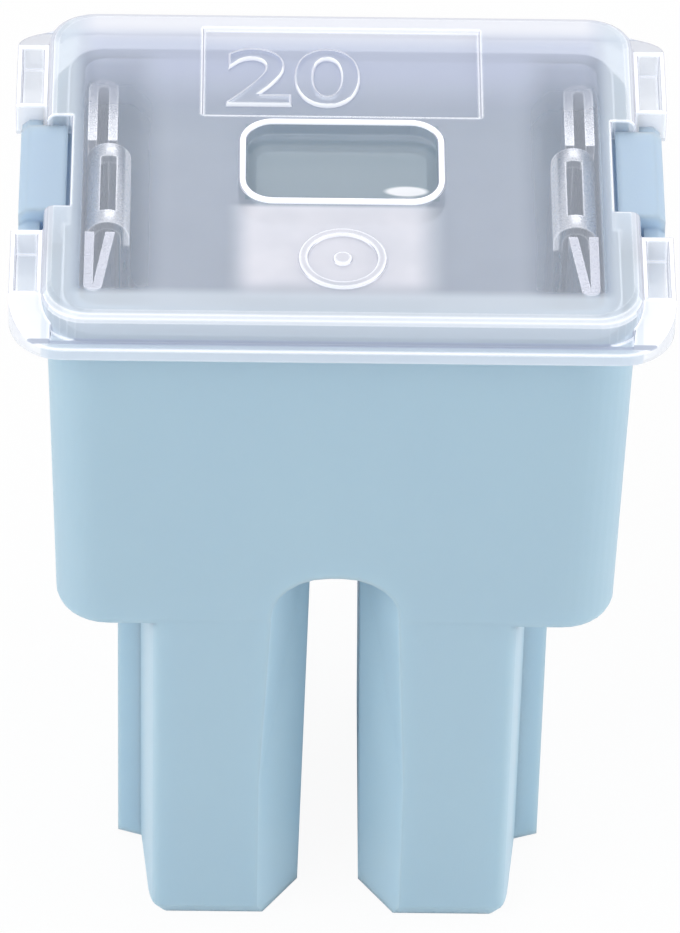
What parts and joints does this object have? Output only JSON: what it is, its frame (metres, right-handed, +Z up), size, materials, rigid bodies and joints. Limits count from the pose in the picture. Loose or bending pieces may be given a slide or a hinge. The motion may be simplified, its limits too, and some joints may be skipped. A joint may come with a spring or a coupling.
{
  "type": "automotive cartridge fuse",
  "caption": "Slow-blow cartridge fuse with a light blue moulded housing on socket legs and a clear cover over a bridged metal element.",
  "frame": {"origin": "centre of the overall box at its base, on the flat tips of the two legs", "axes": "+X to the right across the two legs, +Y from the front to the back along the sockets, +Z up from the leg tips to the clear cover"},
  "size_m": [0.0154, 0.0114, 0.0208],
  "materials": {
    "housing_plastic": "light blue moulded plastic, satin",
    "clear_plastic": "clear moulded plastic, polished",
    "tinned_copper": "tin-plated copper alloy strip",
    "tin": "dull cast tin",
    "spring_steel": "stainless spring strip"
  },
  "bodies": {
    "root": {"housing": "housing_plastic", "cover": "clear_plastic", "fuse_element": "tinned_copper", "tin_bead": "tin", "contact_spring_left": "spring_steel", "contact_spring_right": "spring_steel"}
  },
  "joints": []
}
